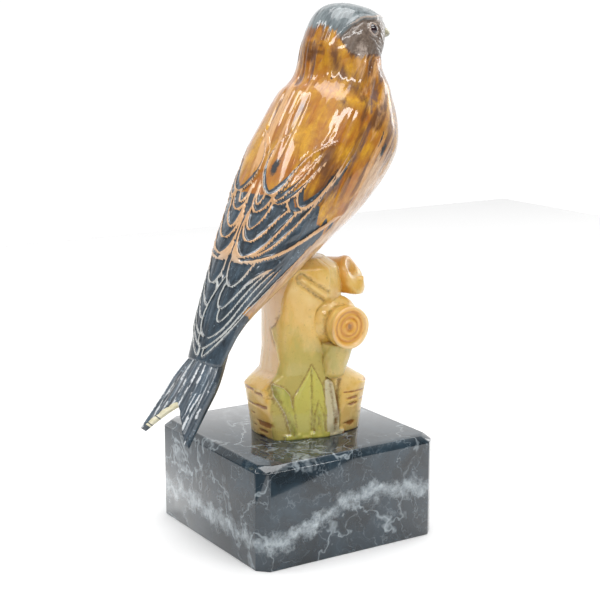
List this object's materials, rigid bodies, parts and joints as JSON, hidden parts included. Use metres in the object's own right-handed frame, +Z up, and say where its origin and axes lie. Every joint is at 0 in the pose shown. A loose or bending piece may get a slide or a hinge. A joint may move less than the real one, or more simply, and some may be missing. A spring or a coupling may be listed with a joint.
{
  "type": "bird trophy",
  "caption": "Cast resin songbird perched on a tree stump, on a chamfered black marble plinth, for use as a trophy or award.",
  "frame": {"origin": "middle of the plinth's underside", "axes": "+Z up, X and Y along the plinth's sides, +X the way the bird heads, +Y to its left"},
  "size_m": [0.1025, 0.07, 0.179],
  "materials": {
    "marble": "polished",
    "painted_resin": "lacquered"
  },
  "bodies": {
    "root": {"marble_plinth": "marble", "bird_on_stump": "painted_resin"}
  },
  "joints": []
}
